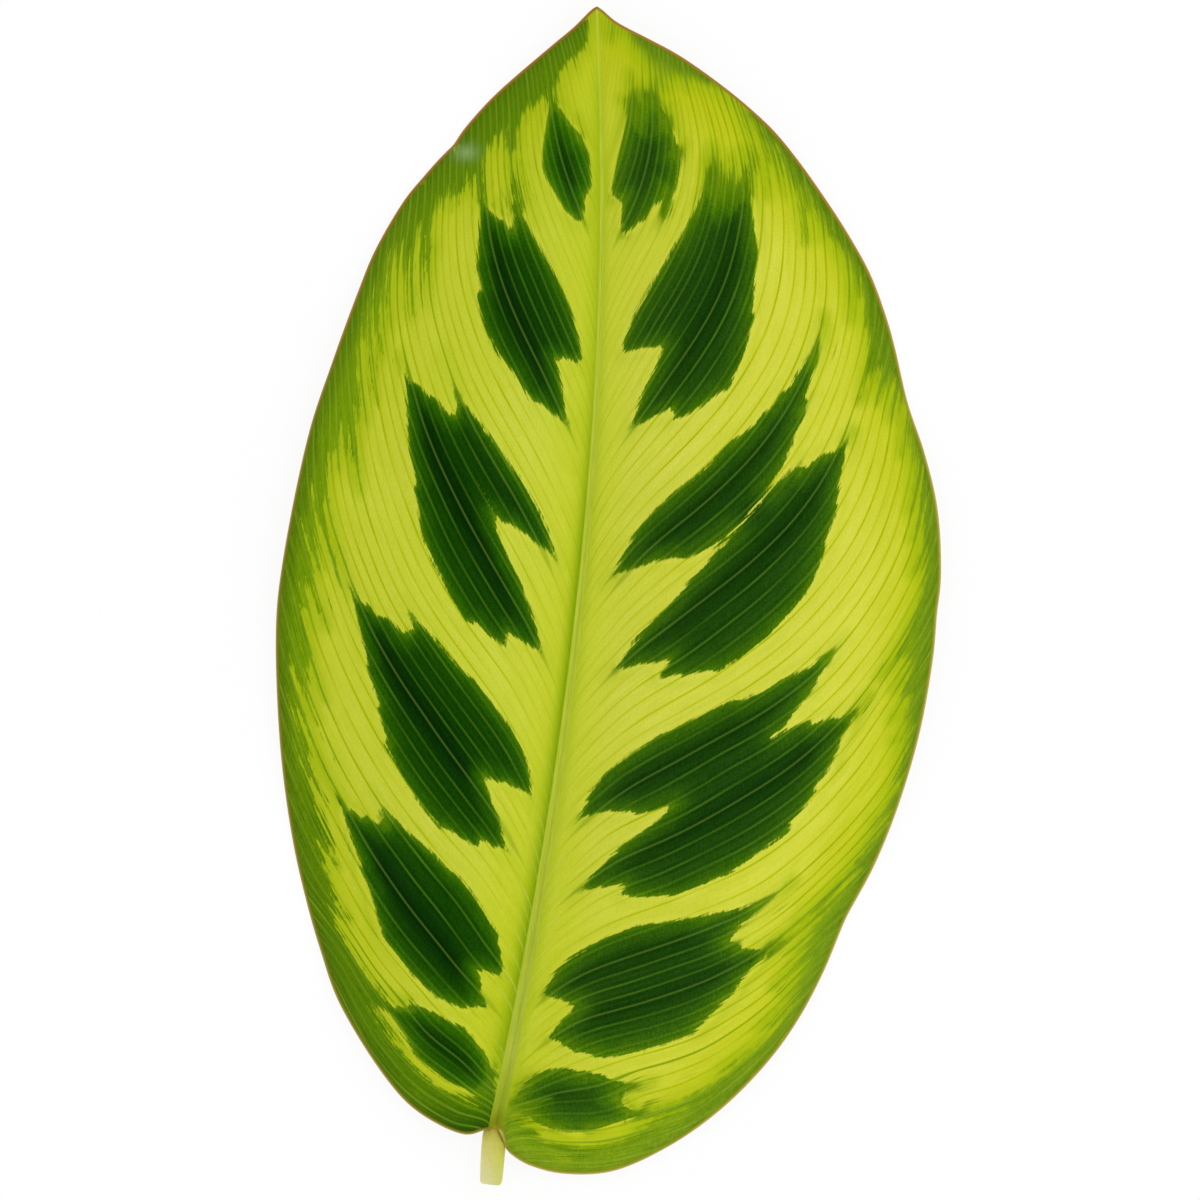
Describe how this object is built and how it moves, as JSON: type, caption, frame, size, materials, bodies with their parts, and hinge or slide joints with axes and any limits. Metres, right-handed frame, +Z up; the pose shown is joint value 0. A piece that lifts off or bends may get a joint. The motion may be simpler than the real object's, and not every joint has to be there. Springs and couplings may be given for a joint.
{
  "type": "cut prayer plant leaf",
  "caption": "Single cut prayer plant leaf lying flat: an oval lime blade with dark herringbone blotches, a pale midrib and a short petiole stub.",
  "frame": {"origin": "middle of the leaf's plan, on the surface that it lies on", "axes": "+Y from the petiole stub to the tip, +Z up out of the blade's upper face, +X to the right when the upper face is seen with the tip up"},
  "size_m": [0.0738, 0.1306, 0.0056],
  "materials": {
    "leaf": "satin"
  },
  "bodies": {
    "root": {"leaf": "leaf"}
  },
  "joints": []
}
